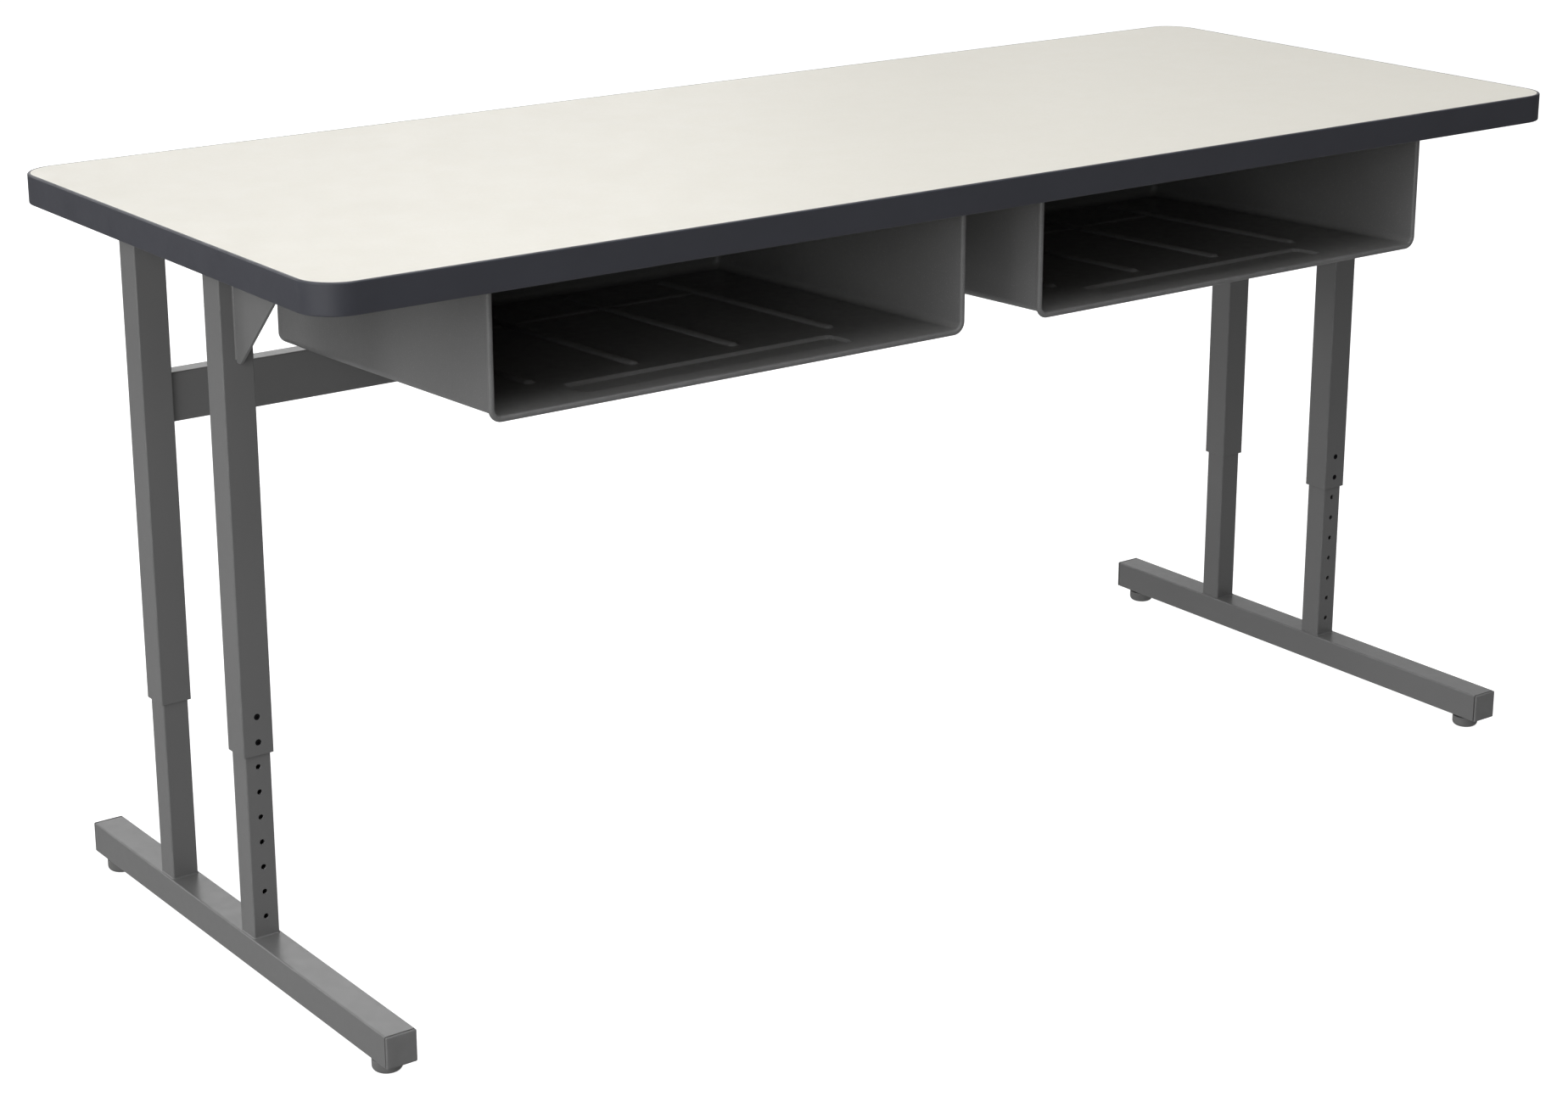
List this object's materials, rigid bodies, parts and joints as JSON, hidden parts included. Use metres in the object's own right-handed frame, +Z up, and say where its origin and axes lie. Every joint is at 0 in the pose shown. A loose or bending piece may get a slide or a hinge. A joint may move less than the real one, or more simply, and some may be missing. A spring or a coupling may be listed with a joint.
{
  "type": "school desk",
  "caption": "School desk with a long laminate worktop over open steel book boxes, on height-set T legs with levelling glides.",
  "frame": {"origin": "on the floor under the middle of the worktop", "axes": "+X along the desk to the user's right, +Y away from the users towards the back, +Z up"},
  "size_m": [1.524, 0.6094, 0.735],
  "materials": {
    "laminate": "fine speckled warm white laminate, low sheen",
    "edge_vinyl": "satin moulded vinyl",
    "core_board": "raw particle board",
    "backer_sheet": "plain brown backing sheet",
    "frame_paint": "satin powder coat",
    "box_paint": "fine textured powder coat",
    "screw_zinc": "zinc plated",
    "black_steel": "black oxide",
    "guide_plastic": "moulded, low sheen",
    "cap_plastic": "satin moulded plastic",
    "glide_nylon": "moulded nylon, low sheen"
  },
  "bodies": {
    "upper_frame": {"tabletop_core": "core_board", "tabletop_laminate": "laminate", "tabletop_backer": "backer_sheet", "edge_band": "edge_vinyl", "left_front_upright": "frame_paint", "left_rear_upright": "frame_paint", "right_front_upright": "frame_paint", "right_rear_upright": "frame_paint", "left_top_rail": "frame_paint", "right_top_rail": "frame_paint", "left_gusset": "frame_paint", "right_gusset": "frame_paint", "stretcher_beam": "frame_paint", "left_book_box": "box_paint", "right_book_box": "box_paint", "book_box_screws": "screw_zinc", "top_rail_screws": "screw_zinc", "left_front_liner": "guide_plastic", "left_rear_liner": "guide_plastic", "right_front_liner": "guide_plastic", "right_rear_liner": "guide_plastic", "left_lock_screws": "black_steel", "right_lock_screws": "black_steel"},
    "left_leg": {"left_front_leg_tube": "frame_paint", "left_rear_leg_tube": "frame_paint", "left_foot": "frame_paint", "left_front_foot_cap": "cap_plastic", "left_rear_foot_cap": "cap_plastic", "left_glide_nuts": "screw_zinc"},
    "right_leg": {"right_front_leg_tube": "frame_paint", "right_rear_leg_tube": "frame_paint", "right_foot": "frame_paint", "right_front_foot_cap": "cap_plastic", "right_rear_foot_cap": "cap_plastic", "right_glide_nuts": "screw_zinc"},
    "left_front_glide": {"left_front_glide_stem": "screw_zinc", "left_front_glide_base": "glide_nylon"},
    "left_rear_glide": {"left_rear_glide_stem": "screw_zinc", "left_rear_glide_base": "glide_nylon"},
    "right_front_glide": {"right_front_glide_stem": "screw_zinc", "right_front_glide_base": "glide_nylon"},
    "right_rear_glide": {"right_rear_glide_stem": "screw_zinc", "right_rear_glide_base": "glide_nylon"}
  },
  "joints": [
    {"name": "left_leg_height", "type": "slide", "parent": "upper_frame", "child": "left_leg", "axis": [0, 0, 1], "range_m": [-0.0254, 0.1778]},
    {"name": "right_leg_height", "type": "slide", "parent": "upper_frame", "child": "right_leg", "axis": [0, 0, 1], "range_m": [-0.0254, 0.1778]},
    {"name": "left_front_glide_level", "type": "slide", "parent": "left_leg", "child": "left_front_glide", "axis": [0, 0, -1], "range_m": [0, 0.01]},
    {"name": "left_rear_glide_level", "type": "slide", "parent": "left_leg", "child": "left_rear_glide", "axis": [0, 0, -1], "range_m": [0, 0.01]},
    {"name": "right_front_glide_level", "type": "slide", "parent": "right_leg", "child": "right_front_glide", "axis": [0, 0, -1], "range_m": [0, 0.01]},
    {"name": "right_rear_glide_level", "type": "slide", "parent": "right_leg", "child": "right_rear_glide", "axis": [0, 0, -1], "range_m": [0, 0.01]}
  ]
}
